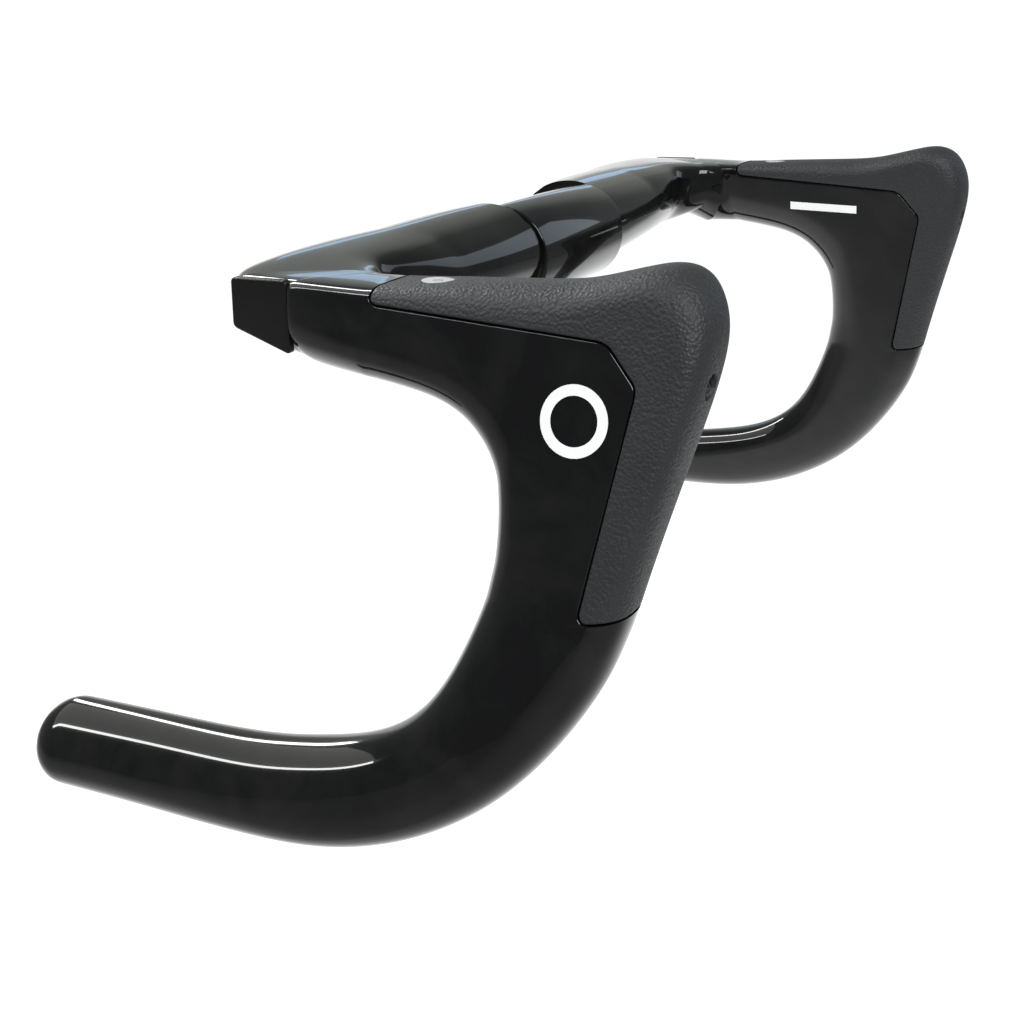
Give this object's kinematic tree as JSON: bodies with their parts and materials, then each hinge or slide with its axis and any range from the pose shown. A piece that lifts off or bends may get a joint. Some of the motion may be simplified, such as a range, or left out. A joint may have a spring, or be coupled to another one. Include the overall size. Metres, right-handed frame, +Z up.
{
  "type": "drop handlebar",
  "caption": "Aero drop handlebar with wing crossbar, round stem clamp zone, rubber-padded forward hoods, deep hooks and straight flared drops.",
  "frame": {"origin": "middle of the stem clamp zone, on its axis", "axes": "+X towards the rider's right along the clamp zone's axis, +Y forward in the direction of travel, +Z up"},
  "size_m": [0.3502, 0.193, 0.1603],
  "materials": {
    "lacquer": "gloss black clear lacquer over carbon fibre",
    "plug": "satin",
    "hood_rubber": "fine pebbled grain, matt",
    "steel": "bright stainless",
    "insert_brass": "turned",
    "decal": "white film under lacquer"
  },
  "bodies": {
    "root": {"crossbar": "lacquer", "clamp_sleeve": "lacquer", "right_corner_plug": "plug", "left_corner_plug": "plug", "right_arm": "lacquer", "left_arm": "lacquer", "right_hood": "hood_rubber", "left_hood": "hood_rubber", "right_top_screw": "steel", "left_top_screw": "steel", "right_top_insert": "insert_brass", "left_top_insert": "insert_brass", "right_front_screw": "steel", "left_front_screw": "steel", "right_front_washer": "steel", "left_front_washer": "steel", "right_front_insert": "insert_brass", "left_front_insert": "insert_brass", "right_side_decal": "decal", "left_side_decal": "decal", "right_inner_decal": "decal", "left_inner_decal": "decal"}
  },
  "joints": []
}
